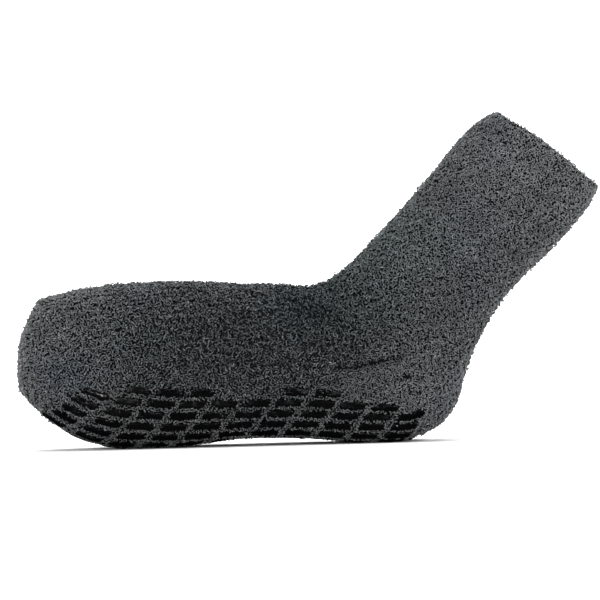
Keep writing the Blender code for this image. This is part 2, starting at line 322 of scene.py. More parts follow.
class Shader:
    """Builds the node tree of one material, step by step."""

    def __init__(self, name: str) -> None:
        """Starts a material with a Principled shader."""
        self.material = bpy.data.materials.new(name)
        self.material.use_nodes = True
        self.tree = self.material.node_tree
        self.surface = self.tree.nodes["Principled BSDF"]

    def set(self, **values: object) -> None:
        """Sets sockets of the shader, named with underscores for spaces."""
        for name, value in values.items():
            self.surface.inputs[name.replace("_", " ").title().replace("Ior", "IOR")].default_value = value

    def node(self, kind: str, **settings: object) -> bpy.types.Node:
        """A new node of a kind with its settings."""
        made = self.tree.nodes.new(kind)
        for name, value in settings.items():
            setattr(made, name, value)
        return made

    def link(self, source: Socket, target: Socket) -> None:
        """Joins two sockets."""
        self.tree.links.new(source, target)

    def places(self) -> Socket:
        """Places on the object in metres."""
        return self.node("ShaderNodeTexCoord").outputs["Object"]

    def value(self, name: str) -> Socket:
        """A number kept for each vertex."""
        return self.node("ShaderNodeAttribute", attribute_name=name).outputs["Fac"]

    def noise(self, size: float, detail: float = 2.0) -> Socket:
        """Noise with grains of a size in metres."""
        made = self.node("ShaderNodeTexNoise")
        made.inputs["Scale"].default_value = 1.0 / size
        made.inputs["Detail"].default_value = detail
        self.link(self.places(), made.inputs["Vector"])
        return made.outputs["Fac"]

    def mix(self, factor: object, low: object, high: object, mode: str = "MIX") -> Socket:
        """A colour between two, by a factor.

        Args:
            factor: how much of the second is used, a number or a socket.
            low: a colour or a socket.
            high: a colour or a socket.
            mode: how the second is laid over the first.

        Returns:
            The colour's socket.
        """
        made = self.node("ShaderNodeMix", data_type="RGBA", blend_type=mode)
        for number, value in ((0, factor), (6, low), (7, high)):
            if isinstance(value, Socket):
                self.link(value, made.inputs[number])
            else:
                made.inputs[number].default_value = value
        return made.outputs[2]

    def ramp(self, factor: Socket, stops: Pairs) -> Socket:
        """A grey that follows a factor through stops, each a place and the brightness there."""
        made = self.node("ShaderNodeValToRGB")
        elements = made.color_ramp.elements
        for element, (place, grey) in zip(elements, (stops[0], stops[-1])):
            element.position, element.color = place, (grey, grey, grey, 1.0)
        for place, grey in stops[1:-1]:
            elements.new(place).color = (grey, grey, grey, 1.0)
        self.link(factor, made.inputs["Fac"])
        return made.outputs["Color"]

    def bump(self, height: Socket, strength: float, distance: float) -> None:
        """Adds a relief to the surface, at a strength and a depth in metres, over any that it has."""
        made = self.node("ShaderNodeBump")
        made.inputs["Strength"].default_value = strength
        made.inputs["Distance"].default_value = distance
        self.link(height, made.inputs["Height"])
        before = self.surface.inputs["Normal"]
        if before.is_linked:
            self.link(before.links[0].from_socket, made.inputs["Normal"])
        self.link(made.outputs["Normal"], before)


@dataclass(frozen=True)
class ChenillePile:
    """Charcoal chenille: soft and matt, with near-black painted shade low on its loops, lighter on their
    tops.
    """

    # Near-black colour of the painted shade low on the loops.
    root: Colour = (0.0025, 0.0030, 0.0034, 1.0)
    warm: Colour = (0.286, 0.292, 0.299, 1.0)
    cool: Colour = (0.216, 0.262, 0.320, 1.0)
    green: Colour = (0.236, 0.290, 0.292, 1.0)
    fibre: float = 0.00060
    nap: float = 0.00030
    nap_depth: float = 0.00018

    def material(self) -> bpy.types.Material:
        """The finish as a material."""
        shader = Shader("chenille_pile")
        hue = shader.mix(shader.value("blue"), self.warm, self.cool)
        hue = shader.mix(shader.value("green"), hue, self.green)
        # The vertex value tone holds uneven dyeing together with painted light and painted shade.
        toned = shader.mix(shader.value("tone"), BLACK, hue)
        fibre = shader.ramp(shader.noise(self.fibre, 3.0), ((0.34, 0.70), (0.66, 1.0)))
        lit = shader.mix(1.0, toned, fibre, "MULTIPLY")
        # Painted shade: the vertex value tip fades each loop from its colour to the near-black root colour
        # low on its flanks and ends.
        body = shader.ramp(shader.value("tip"), ((0.0, 0.0), (0.20, 0.22), (0.42, 0.80), (1.0, 1.0)))
        shader.link(shader.mix(body, self.root, lit), shader.surface.inputs["Base Color"])
        shader.set(roughness=0.92, sheen_weight=0.03, sheen_roughness=0.4, specular_ior_level=0.015)
        shader.bump(shader.noise(self.nap, 3.0), 0.6, self.nap_depth)
        return shader.material


@dataclass(frozen=True)
class GroundKnit:
    """The base knit: near-black painted shade where it shows between the loops, and plain lighter loops
    inside.
    """

    # Near-black painted shade where the knit shows between the loops.
    gap_shade: Colour = (0.0030, 0.0033, 0.0036, 1.0)
    lining: Colour = (0.150, 0.156, 0.162, 1.0)
    loop: float = 0.0017
    loop_depth: float = 0.0004

    def material(self) -> bpy.types.Material:
        """The finish as a material."""
        shader = Shader("ground_knit")
        loops = shader.node("ShaderNodeTexVoronoi", feature="F1")
        loops.inputs["Scale"].default_value = 1.0 / self.loop
        shader.link(shader.places(), loops.inputs["Vector"])
        shade = shader.ramp(loops.outputs["Distance"], ((0.1, 1.0), (0.75, 0.25)))
        lining = shader.mix(shade, self.gap_shade, self.lining)
        colour = shader.mix(shader.value("inside"), self.gap_shade, lining)
        shader.link(colour, shader.surface.inputs["Base Color"])
        shader.set(roughness=0.95, specular_ior_level=0.02)
        shader.bump(shade, 0.8, self.loop_depth)
        return shader.material


@dataclass(frozen=True)
class SeamThread:
    """Smooth charcoal thread, oversewn in close stitches."""

    dark: Colour = (0.050, 0.053, 0.056, 1.0)
    light: Colour = (0.120, 0.125, 0.130, 1.0)
    stitch: float = 0.0011

    def material(self) -> bpy.types.Material:
        """The finish as a material."""
        shader = Shader("seam_thread")
        turns = shader.node("ShaderNodeTexWave", wave_type="BANDS", bands_direction="DIAGONAL")
        turns.inputs["Scale"].default_value = 0.5 / self.stitch
        turns.inputs["Distortion"].default_value = 1.5
        turns.inputs["Detail"].default_value = 2.0
        shader.link(shader.places(), turns.inputs["Vector"])
        colour = shader.mix(turns.outputs["Fac"], self.dark, self.light)
        shader.link(colour, shader.surface.inputs["Base Color"])
        shader.set(roughness=0.8, sheen_weight=0.2, specular_ior_level=0.25)
        shader.bump(turns.outputs["Fac"], 0.7, 0.00025)
        shader.bump(shader.noise(0.0003, 3.0), 0.4, 0.0001)
        return shader.material


@dataclass(frozen=True)
class PrintedRubber:
    """Glossy black rubber, printed wet and set uneven."""

    colour: Colour = (0.0006, 0.0006, 0.0007, 1.0)
    bloom: Colour = (0.0020, 0.0020, 0.0022, 1.0)
    cloud: float = 0.0012
    gloss: float = 0.0070
    blob: float = 0.0013
    blob_depth: float = 0.00080
    cluster: float = 0.0075

    def material(self) -> bpy.types.Material:
        """The finish as a material."""
        shader = Shader("printed_rubber")
        cloud = shader.noise(self.cloud)
        shader.link(shader.mix(cloud, self.colour, self.bloom), shader.surface.inputs["Base Color"])
        gloss = shader.ramp(shader.noise(self.gloss), ((0.42, 0.07), (0.56, 0.05)))
        shader.link(gloss, shader.surface.inputs["Roughness"])
        shader.set(specular_ior_level=0.20)
        blobs = shader.node("ShaderNodeTexVoronoi", feature="SMOOTH_F1")
        blobs.inputs["Scale"].default_value = 1.0 / self.blob
        blobs.inputs["Smoothness"].default_value = 0.25
        shader.link(shader.places(), blobs.inputs["Vector"])
        clusters = shader.ramp(shader.noise(self.cluster, 1.0), ((0.46, 0.08), (0.58, 1.0)))
        height = shader.node("ShaderNodeMath", operation="MULTIPLY")
        shader.link(blobs.outputs["Distance"], height.inputs[0])
        shader.link(clusters, height.inputs[1])
        shader.bump(height.outputs[0], 0.90, self.blob_depth)
        return shader.material


@dataclass(frozen=True)
class PaleFloor:
    """Plain white studio floor."""

    colour: Colour = (0.92, 0.92, 0.92, 1.0)

    def material(self) -> bpy.types.Material:
        """The finish as a material."""
        shader = Shader("pale_floor")
        shader.set(base_color=self.colour, roughness=0.9, specular_ior_level=0.1)
        return shader.material


@dataclass
class GroundShell:
    """The knitted wall itself, from toe to cuff.

    It is sunk under the pile, less so at the cuff's edge and where the lining is bare.
    """

    sink: float = 0.0012
    lining_sink: float = 0.0002
    turned_in: float = 0.030
    edge_fill: float = 0.0045
    edge_rise: float = 0.8
    edge_reach: float = 0.014
    side_drop: float = 0.0016
    corner_draw: float = 0.0012
    half_width: float = 0.033
    ray_start: float = 0.0008
    ray_reach: float = 0.09
    finish: GroundKnit = field(default_factory=GroundKnit)

    def smooth_mesh(self) -> bpy.types.Mesh:
        """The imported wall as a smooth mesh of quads, once subdivided."""
        bm = welded_copy("sock_body")
        fold, skew = math.radians(40.0), math.radians(120.0)
        bmesh.ops.join_triangles(bm, faces=bm.faces, angle_face_threshold=fold, angle_shape_threshold=skew)
        rough = bpy.data.meshes.new("ground_rough")
        bm.to_mesh(rough)
        bm.free()
        obj = placed("ground_rough", rough)
        smooth = obj.modifiers.new("smooth", "SUBSURF")
        smooth.levels = smooth.render_levels = 1
        evaluated = obj.evaluated_get(bpy.context.evaluated_depsgraph_get())
        mesh = bpy.data.meshes.new_from_object(evaluated)
        bpy.data.objects.remove(obj)
        return mesh

    def lay_cuff(self, places: Array) -> Array:
        """Lowers the cuff's edge a little at its sides and draws out its back corner."""
        near_edge = np.exp(-((depth_from_cuff(places, places) / self.edge_reach) ** 2))
        beside = (places[:, 1] / self.half_width) ** 2
        behind = np.clip(places @ LEG_BACK / self.half_width, 0.0, 1.0) ** 3
        lowered = -self.side_drop * near_edge * np.minimum(beside, 1.0)
        drawn = self.corner_draw * near_edge * behind
        return places + LEG_UP * (lowered + drawn)[:, None] + LEG_BACK * (0.5 * drawn)[:, None]

    def sides(self, places: Array, normals: Array, wall: BVHTree) -> Array:
        """Which face of the wall each place lies on.

        Args:
            places: points on the wall.
            normals: the wall's outward directions there.
            wall: the wall as a tree to cast rays at.

        Returns:
            The value of a Side for each place.
        """
        found = np.full(len(places), Side.OUTSIDE.value)
        for i, (place, normal) in enumerate(zip(places, normals)):
            outward = Vector(normal)
            hit = wall.ray_cast(Vector(place) + self.ray_start * outward, outward, self.ray_reach)
            if hit[0] is not None:
                found[i] = Side.INSIDE.value
        return found

    def build(self) -> "KnitSurface":
        """Builds the shell and gives back the surface that the pile is planted on."""
        mesh = self.smooth_mesh()
        count = len(mesh.vertices)
        places = np.empty(3 * count, dtype=np.float32)
        normals = np.empty(3 * count, dtype=np.float32)
        mesh.vertices.foreach_get("co", places)
        mesh.vertex_normals.foreach_get("vector", normals)
        places, normals = places.reshape(-1, 3).astype(float), normals.reshape(-1, 3).astype(float)
        mesh.calc_loop_triangles()
        triangles = np.empty(3 * len(mesh.loop_triangles), dtype=np.int32)
        mesh.loop_triangles.foreach_get("vertices", triangles)
        triangles = triangles.reshape(-1, 3)
        places = self.lay_cuff(places)
        faces = [tuple(int(i) for i in triangle) for triangle in triangles]
        wall = BVHTree.FromPolygons([Vector(p) for p in places], faces)
        sides = self.sides(places, normals, wall)
        inside = (sides == Side.INSIDE.value).astype(float)
        depth = depth_from_cuff(places, places)
        lined = inside * (depth > self.turned_in)
        at_edge = np.exp(-((depth / self.edge_fill) ** 2))
        sunk = (self.sink + (self.lining_sink - self.sink) * lined) * (1.0 - self.edge_rise * at_edge)
        moved = places + normals * ((1.0 - inside) * knit_relief(places) - sunk)[:, None]
        mesh.vertices.foreach_set("co", moved.astype(np.float32).ravel())
        mesh.shade_smooth()
        obj = placed("ground_shell", mesh)
        write_values(obj, "inside", lined)
        obj.data.materials.clear()
        obj.data.materials.append(self.finish.material())
        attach(obj, "root")
        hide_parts("sock_body")
        return KnitSurface(places, normals, triangles, inside, depth, obj)


@dataclass
class KnitSurface:
    """The wall's surface as arrays, for planting loops on it."""

    places: Array
    normals: Array
    triangles: Array
    inside: Array
    depth: Array
    piece: bpy.types.Object

    def scatter(self, count: int, turned_in: float, rng: np.random.Generator) -> tuple[Array, Array, Array]:
        """Random points, evenly spread over all that the pile covers.

        Args:
            count: how many points to try.
            turned_in: how far the pile goes down inside the cuff.
            rng: the source of chance.

        Returns:
            Places, outward directions, and 1.0 for each that lies inside.
        """
        corners = self.places[self.triangles]
        spans = np.cross(corners[:, 1] - corners[:, 0], corners[:, 2] - corners[:, 0])
        areas = 0.5 * np.linalg.norm(spans, axis=1)
        within = self.inside[self.triangles].mean(axis=1) > 0.5
        buried = within & (self.depth[self.triangles].mean(axis=1) > turned_in)
        areas[buried] = 0.0
        picked = rng.choice(len(areas), size=count, p=areas / areas.sum())
        first, second = rng.random(count), rng.random(count)
        over = first + second > 1.0
        first[over], second[over] = 1.0 - first[over], 1.0 - second[over]
        share = np.column_stack([1.0 - first - second, first, second])
        chosen = self.triangles[picked]
        spots = np.einsum("ij,ijk->ik", share, self.places[chosen])
        outward = unit(np.einsum("ij,ijk->ik", share, self.normals[chosen]))
        return spots, outward, within[picked].astype(float)


@dataclass
class Brick:
    """One printed brick: three pairs of corners along its top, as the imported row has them."""

    corners: Array
    normal: Array

    def point(self, along: Array, across: Array) -> Array:
        """Places on the brick's bent top.

        Args:
            along: from -1 at its toe end to 1 at its heel end.
            across: from -1 to 1.

        Returns:
            One place for each pair of values.
        """
        ends = [0.5 * along * (along - 1.0), 0.5 * along * (along + 1.0)]
        blend = np.stack([ends[0], 1.0 - along**2, ends[1]], axis=-1)
        sides = np.stack([0.5 * (1.0 - across), 0.5 * (1.0 + across)], axis=-1)
        return np.einsum("...i,...j,ijk->...k", blend, sides, self.corners)


@dataclass
class GripRow:
    """One row of printed rubber bricks, each with round corners and an uneven crown."""

    node: str
    corner: float = 0.0016
    long_share: float = 0.985
    wide_share: float = 0.84
    length: float = 0.0140
    width: float = 0.0045
    body_depth: float = 0.0021
    edge_fall: float = 0.00045
    top_level: float = 0.00145
    slow_wobble: float = 0.035
    quick_wobble: float = 0.02
    dent: float = 0.00010
    dent_size: float = 0.0042
    flare: float = 0.015
    half: tuple[float, ...] = (0.26, 0.52, 0.76, 0.88, 0.96, 1.0)
    lanes: tuple[float, ...] = (-1.0, -0.86, -0.52, 0.0, 0.52, 0.86, 1.0)

    def find_bricks(self, wall: BVHTree) -> list[Brick]:
        """Reads the bricks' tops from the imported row.

        Args:
            wall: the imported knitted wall, which the tops stand clear of.

        Returns:
            One brick for each raised face of the row.
        """
        bm = welded_copy(self.node)
        raised = {v for v in bm.verts if wall.find_nearest(v.co)[3] > self.top_level}
        tops = {f for f in bm.faces if all(v in raised for v in f.verts)}
        bricks = []
        while tops:
            island = set()
            edge = {tops.pop()}
            while edge:
                face = edge.pop()
                island.add(face)
                near = {f for v in face.verts for f in v.link_faces if f in tops}
                tops -= near
                edge |= near
            bricks.append(self.brick_from(island))
        bm.free()
        return bricks

    def brick_from(self, island: set[bmesh.types.BMFace]) -> Brick:
        """Sorts a top's vertices into three pairs from toe to heel; a flat one has no middle pair.

        Args:
            island: the faces of the brick's top.

        Returns:
            The brick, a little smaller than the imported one.
        """
        points = np.array([tuple(v.co) for v in {v for f in island for v in f.verts}])
        normal = np.array(sum((f.normal * f.calc_area() for f in island), Vector()).normalized())
        centred = points - points.mean(axis=0)
        along = np.linalg.svd(centred)[2][0]
        along = along if along[0] > 0.0 else -along
        across = np.cross(normal, along)
        order = np.argsort(centred @ along).reshape(-1, 2)
        pairs = [points[pair[np.argsort(centred[pair] @ across)]] for pair in order]
        if len(pairs) == 2:
            pairs.insert(1, (pairs[0] + pairs[1]) / 2)
        corners = np.array(pairs)
        lane = corners.mean(axis=1, keepdims=True)
        corners = lane + (corners - lane) * self.wide_share
        corners += (lane - lane[1]) * (self.long_share - 1.0)
        return Brick(corners, normal)

    def brick_mesh(self, brick: Brick, bm: bmesh.types.BMesh, rng: np.random.Generator) -> None:
        """Adds one brick to the row's mesh.

        Args:
            brick: where the brick lies.
            bm: the mesh that it goes into.
            rng: the source of its unevenness.
        """
        stations = [-share for share in reversed(self.half)] + [0.0] + list(self.half)
        along, across = np.meshgrid(stations, self.lanes, indexing="ij")
        trim = self.corner / (self.length / 2)
        past = np.clip((np.abs(along) - (1.0 - trim)) / trim, 0.0, 1.0)
        narrow = 1.0 - self.corner / (self.width / 2) * (1.0 - np.sqrt(1.0 - past**2))
        wobble = 1.0 + self.slow_wobble * np.sin(3.0 * along + rng.uniform(0, 6))
        wobble += self.quick_wobble * np.sin(7.0 * along + rng.uniform(0, 6))
        spots = brick.point(along, across * narrow * wobble)
        fall = self.edge_fall * np.maximum(np.abs(across) ** 5, np.abs(along) ** 9)
        waves = soft_waves(spots.reshape(-1, 3), self.dent_size, 11).reshape(along.shape)
        dents = self.dent * (1.0 + waves).clip(0.0, 2.0)
        spots = spots - brick.normal * (fall + dents)[..., None]
        spots[..., 2] = np.maximum(spots[..., 2], 0.0)
        top = [[bm.verts.new(p) for p in line] for line in spots]
        last_i, last_j = len(stations) - 1, len(self.lanes) - 1
        for i in range(last_i):
            for j in range(last_j):
                bm.faces.new((top[i][j], top[i + 1][j], top[i + 1][j + 1], top[i][j + 1]))
        rim = [top[i][0] for i in range(last_i)] + [top[last_i][j] for j in range(last_j)]
        rim += [top[i][last_j] for i in range(last_i, 0, -1)] + [top[0][j] for j in range(last_j, 0, -1)]
        centre = spots.reshape(-1, 3).mean(axis=0)
        lower = []
        for vert in rim:
            flare = (np.array(vert.co) - centre) * self.flare
            foot = np.array(vert.co) + flare - brick.normal * (self.body_depth - self.edge_fall)
            lower.append(bm.verts.new(foot))
        for i, vert in enumerate(rim):
            j = (i + 1) % len(rim)
            bm.faces.new((vert, lower[i], lower[j], rim[j]))
        bm.faces.new(lower)

    def build(self, bricks: list[Brick], material: bpy.types.Material) -> bpy.types.Object:
        """Builds the row.

        Args:
            bricks: the row's bricks.
            material: the rubber.

        Returns:
            The finished piece.
        """
        rng = np.random.default_rng(sum(ord(letter) for letter in self.node))
        bm = bmesh.new()
        for brick in bricks:
            self.brick_mesh(brick, bm, rng)
        bmesh.ops.recalc_face_normals(bm, faces=bm.faces)
        obj = finished(f"{self.node}_bricks", bm, material)
        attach(obj, "root")
        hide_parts(self.node)
        return obj


@dataclass
class GripPrint:
    """All the rows of bricks round the sole."""

    finish: PrintedRubber = field(default_factory=PrintedRubber)
    bricks: list[Brick] = field(default_factory=list)
    above: float = 0.006
    nearest: int = 7
    through: float = 0.0045
    steepness: float = 4.0

    def build(self) -> list[bpy.types.Object]:
        """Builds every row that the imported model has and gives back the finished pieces."""
        wall = packed_wall()
        material = self.finish.material()
        made = []
        for node in sorted(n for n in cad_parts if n.startswith("grip_row")):
            row = GripRow(node)
            found = row.find_bricks(wall)
            self.bricks += found
            made.append(row.build(found, material))
        return made

    def distance(self, places: Array) -> Array:
        """Distance of each place to the nearest brick's outline in metres, 0 on or under a brick."""
        best = np.full(len(places), np.inf)
        top = max(brick.corners[..., 2].max() for brick in self.bricks)
        low = np.flatnonzero(places[:, 2] < top + self.above)
        best[low] = self.distance_low(places[low])
        return best

    def distance_low(self, places: Array) -> Array:
        """The same distance, for places that lie about as low as the bricks.

        Args:
            places: points as rows of x, y and z.

        Returns:
            One distance in metres for each point.
        """
        tree = point_tree([Vector(brick.corners.mean(axis=(0, 1))) for brick in self.bricks])
        near = np.array([[hit[1] for hit in tree.find_n(Vector(p), self.nearest)] for p in places])
        corners = np.array([b.corners for b in self.bricks])
        normals = np.array([b.normal for b in self.bricks])
        best = np.full(len(places), np.inf)
        for chosen in near.T:
            for half in (0, 1):
                start = corners[chosen, half, 0]
                ahead = corners[chosen, half + 1, 0] - start
                beside = corners[chosen, half, 1] - start
                offset = places - start
                up = dots(offset, normals[chosen])
                aa, bb, ab = dots(ahead, ahead), dots(beside, beside), dots(ahead, beside)
                oa, ob = dots(offset, ahead), dots(offset, beside)
                scale = aa * bb - ab**2
                s = (oa * bb - ob * ab) / scale
                t = (ob * aa - oa * ab) / scale
                out_s = np.maximum(np.maximum(-s, s - 1.0), 0.0) * np.sqrt(aa)
                out_t = np.maximum(np.maximum(-t, t - 1.0), 0.0) * np.sqrt(bb)
                beyond = np.maximum(np.abs(up) - self.through, 0.0)
                best = np.minimum(best, np.hypot(out_s, out_t) + beyond * self.steepness)
        return best


@dataclass
class ToeSeam:
    """The smooth linked seam down the front of the toe, set into the pile."""

    flatten: float = 0.70
    sink: float = 0.0019
    widen: float = 1.25
    finish: SeamThread = field(default_factory=SeamThread)

    def build(self) -> bpy.types.Object:
        """Builds the seam over its packed cord and gives back the finished piece."""
        bm = welded_copy("toe_seam")
        wall = packed_wall()
        for vert in bm.verts:
            spot, normal, _, gap = wall.find_nearest(vert.co)
            vert.co = spot + normal * (gap * self.flatten - self.sink)
            vert.co.y *= self.widen
        obj = finished("toe_seam_cord", bm, self.finish.material())
        smooth = obj.modifiers.new("smooth", "SUBSURF")
        smooth.levels = smooth.render_levels = 1
        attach(obj, "root")
        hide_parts("toe_seam")
        return obj

    def distance(self, places: Array) -> Array:
        """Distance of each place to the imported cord."""
        tree = point_tree([vert.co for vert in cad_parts["toe_seam"].data.vertices])
        return np.array([tree.find(Vector(p))[2] for p in places])


@dataclass
class LoopShape:
    """The form of one loop of the pile: a short bent worm with round ends."""

    sides: int = 3
    rings: tuple[float, ...] = (0.26, 0.74)
    girths: tuple[float, ...] = (1.12, 1.12)

    def vertex_count(self) -> int:
        """How many vertices one loop has."""
        return self.sides * len(self.rings) + 2

    def faces(self) -> Array:
        """The triangles of one loop, as rows of vertex numbers."""
        count, last = self.sides, len(self.rings) - 1
        start, end = count * (last + 1), count * (last + 1) + 1
        made = []
        for i in range(count):
            j = (i + 1) % count
            made.append((start, j, i))
            made.append((end, last * count + i, last * count + j))
            for ring in range(last):
                a, b = ring * count, (ring + 1) * count
                made.append((a + i, a + j, b + j))
                made.append((a + i, b + j, b + i))
        return np.array(made)


@dataclass
class Pile:
    """The chenille pile: thousands of small bent loops standing on the ground knit."""

    spacing: float = 0.00095
    fine_spacing: float = 0.00077
    length: float = 0.0020
    girth: float = 0.00094
    lengths: tuple[float, float] = (0.72, 1.28)
    girths: tuple[float, float] = (0.82, 1.15)
    fine_size: float = 0.82
    root_depth: float = 0.0011
    turned_in: float = 0.030
    fading: float = 0.018
    brick_margin: float = 0.00020
    brick_lift: float = 0.00162
    brick_shrink: float = 0.08
    # Painted shade: how much darker the loops beside the bricks are.
    brick_shade: float = 0.03
    brick_fine: float = 0.8
    brick_reach: float = 0.0030
    crowding: float = 0.20
    seam_margin: float = 0.0004
    rim_reach: float = 0.0035
    stray_share: float = 0.11
    # Painted light and shade: low loops are darker, more so in the painted-shade patches, less in the
    # painted-light ones, whose gaps are lightened.
    low_shade: float = 0.54
    painted_shade_depth: float = 1.65
    painted_light_lift: float = 0.7
    painted_gap_light: float = 0.6
    painted_shade_tone: float = 0.58
    tone: float = 0.452
    fine_tone: float = 0.08
    crease_spread: float = 1.3
    least_tone: float = 0.04
    tone_spread: float = 0.22
    tone_waves: float = 0.07
    tone_wave_size: float = 0.020
    tuft_size: float = 0.0040
    tuft_rise: float = 0.00050
    # Painted shade: how much lighter raised tufts and darker sunken ones are.
    tuft_shade: float = 0.10
    bend: float = 0.22
    roll: float = 0.45
    tilt: float = 0.35
    stray_tilt: float = 1.2
    stray_rises: tuple[float, float] = (0.2, 0.7)
    body_lift: float = 0.28
    end_lift: float = 0.05
    rim_lift: float = 0.55
    jitter: float = 0.00013
    # Painted shade: brightness of the loops' low flanks and of their ends.
    flank_shading: float = 0.36
    end_shading: float = 0.12
    floor_gap: float = 0.0003
    blue_cast: float = 0.18
    green_cast: float = 0.12
    foot_cuts: tuple[float, float, float] = (0.22, 0.46, 0.70)
    leg_cuts: tuple[float, float, float] = (0.092, 0.136, 0.178)
    tries: int = 480000
    seed: int = 21
    shape: LoopShape = field(default_factory=LoopShape)
    finish: ChenillePile = field(default_factory=ChenillePile)

    @staticmethod
    def square_gap(one: Array, other: Array) -> float:
        """The square of the distance between two points."""
        return (one[0] - other[0]) ** 2 + (one[1] - other[1]) ** 2 + (one[2] - other[2]) ** 2

    def thin_out(self, places: Array, reach: Array) -> Array:
        """Keeps points that lie no nearer to each other than their reach.

        Args:
            places: the points, in random order.
            reach: the least distance of each to its neighbours.

        Returns:
            The numbers of the points that are kept.
        """
        cell = float(reach.max())
        grid: dict[tuple[int, int, int], list[int]] = {}
        steps = list(product((-1, 0, 1), repeat=3))
        kept = []
        for i, (x, y, z) in enumerate(np.floor(places / cell).astype(int)):
            spot, limit = places[i], reach[i] ** 2
            cells = (grid.get((x + dx, y + dy, z + dz), ()) for dx, dy, dz in steps)
            others = (places[j] for cell_points in cells for j in cell_points)
            if not any(self.square_gap(spot, other) < limit for other in others):
                grid.setdefault((x, y, z), []).append(i)
                kept.append(i)
        return np.array(kept)

    def plant(self, surface: KnitSurface, print_rows: GripPrint, seam: ToeSeam) -> dict[str, Array]:
        """Chooses where every loop stands and how big and bright it is.

        Args:
            surface: the knitted wall.
            print_rows: the bricks, which no loop stands under.
            seam: the toe seam, which the pile leaves bare.

        Returns:
            Arrays with one entry for each loop, by name.
        """
        rng = np.random.default_rng(self.seed)
        places, normals, within = surface.scatter(self.tries, self.turned_in, rng)
        fine = gathered(FINE_PATCHES, places)
        to_brick = print_rows.distance(places)
        crowd = np.clip(1.0 - to_brick / self.brick_reach, 0.0, 1.0) * (within < 0.5)
        reach = (self.spacing + (self.fine_spacing - self.spacing) * fine) * (1.0 - self.crowding * crowd)
        kept = self.thin_out(places, reach)
        places, normals, within, fine = places[kept], normals[kept], within[kept], fine[kept]
        to_brick = to_brick[kept]
        outside = within < 0.5
        parted = np.zeros(len(places), dtype=bool)
        for crease in CREASES:
            parted |= outside & (crease.distance(places) < crease.parting)
        printed = outside & (to_brick < self.brick_margin)
        clear = ~printed & ~parted & (seam.distance(places) > self.seam_margin)
        fade = (self.turned_in - depth_from_cuff(places, surface.places)) / self.fading
        clear &= outside | (rng.random(len(places)) < fade)
        places, normals, within = places[clear], normals[clear], within[clear]
        fine, to_brick = fine[clear], to_brick[clear]
        beside = np.clip(1.0 - to_brick / self.brick_reach, 0.0, 1.0) * (within < 0.5)
        fine = np.maximum(fine, np.minimum(2.0 * self.brick_fine * beside, self.brick_fine))
        depth = depth_from_cuff(places, surface.places)
        return {
            "places": places,
            "normals": normals,
            "within": within,
            "fine": fine,
            "beside": beside,
            "rim": np.exp(-((depth / self.rim_reach) ** 2)),
            # Painted shade: loops beside the bricks are a little darker.
            "tone": self.tones(places, fine, rng) * (1.0 - self.brick_shade * beside),
        }

    def tones(self, places: Array, fine: Array, rng: np.random.Generator) -> Array:
        """How bright each loop is: uneven dyeing, painted light at the toe, heel, calf and cuff, and
        painted shade mid-foot and in creases.

        Args:
            places: where the loops stand.
            fine: how fine the pile is there, from 0 to 1.
            rng: the source of chance.

        Returns:
            One brightness for each loop, up to 1.
        """
        uneven = self.tone_spread * rng.normal(size=len(places))
        uneven += self.tone_waves * soft_waves(places, self.tone_wave_size, 8)
        tone = self.tone * np.exp(uneven)
        # Painted light: loops in the painted-light patches are lighter.
        tone *= 1.0 + gathered(PAINTED_LIGHT_PATCHES, places) + self.fine_tone * fine
        # Painted shade: loops in the painted-shade patches are darker.
        tone *= 1.0 - self.painted_shade_tone * gathered(PAINTED_SHADE_PATCHES, places)
        # Painted shade along each crease.
        for crease in CREASES:
            spread = self.crease_spread * crease.width
            tone *= 1.0 - crease.shade * np.exp(-((crease.distance(places) / spread) ** 2))
        return np.clip(tone, self.least_tone, 1.0)

    def loops(self, planted: dict[str, Array]) -> tuple[Array, Array]:
        """The vertices of all the loops.

        Args:
            planted: what the plant method returns.

        Returns:
            Vertices with one row of them for each loop, and each vertex's painted shading: light on top,
            dark on low flanks, ends and low loops.
        """
        rng = np.random.default_rng(self.seed + 1)
        places, normals, fine = planted["places"], planted["normals"], planted["fine"]
        count = len(places)
        size = (1.0 + (self.fine_size - 1.0) * fine) * (1.0 - self.brick_shrink * planted["beside"])
        length = self.length * size * rng.uniform(*self.lengths, count)
        girth = self.girth * size * rng.uniform(*self.girths, count)
        heading = unit(rng.normal(size=(count, 3)))
        side = unit(np.cross(normals, heading))
        travel = np.cross(side, normals)
        bends = [rng.uniform(-self.bend, self.bend, count) * length for _ in self.shape.rings]
        rise = rng.uniform(0.0, 1.0, count) * girth
        # Painted shade: a loop is darker the lower it stands, more so in the painted-shade patches and less
        # in the painted-light ones.
        light, dark = gathered(PAINTED_LIGHT_PATCHES, places), gathered(PAINTED_SHADE_PATCHES, places)
        lowest = self.low_shade * np.clip(1.0 - self.painted_shade_depth * dark, 0.2, 1.0)
        lowest = lowest + self.painted_light_lift * light
        # Painted light: the gaps between the loops are lightened in the painted-light patches.
        soft = self.painted_gap_light * light
        shade = lowest + (1.0 - lowest) * rise / girth
        roll = rng.uniform(-self.roll, self.roll, count)
        stray = rng.random(count) < self.stray_share * (1.0 - planted["rim"])
        rise = np.where(stray, rise + rng.uniform(*self.stray_rises, count) * girth, rise)
        stray_tilt = rng.uniform(-self.stray_tilt, self.stray_tilt, count)
        tilt = np.where(stray, stray_tilt, rng.uniform(-self.tilt, self.tilt, count))
        relief = knit_relief(places) * (1.0 - planted["within"])
        tuft = soft_waves(places, self.tuft_size, 6)
        relief += self.tuft_rise * tuft * (1.0 - planted["beside"])
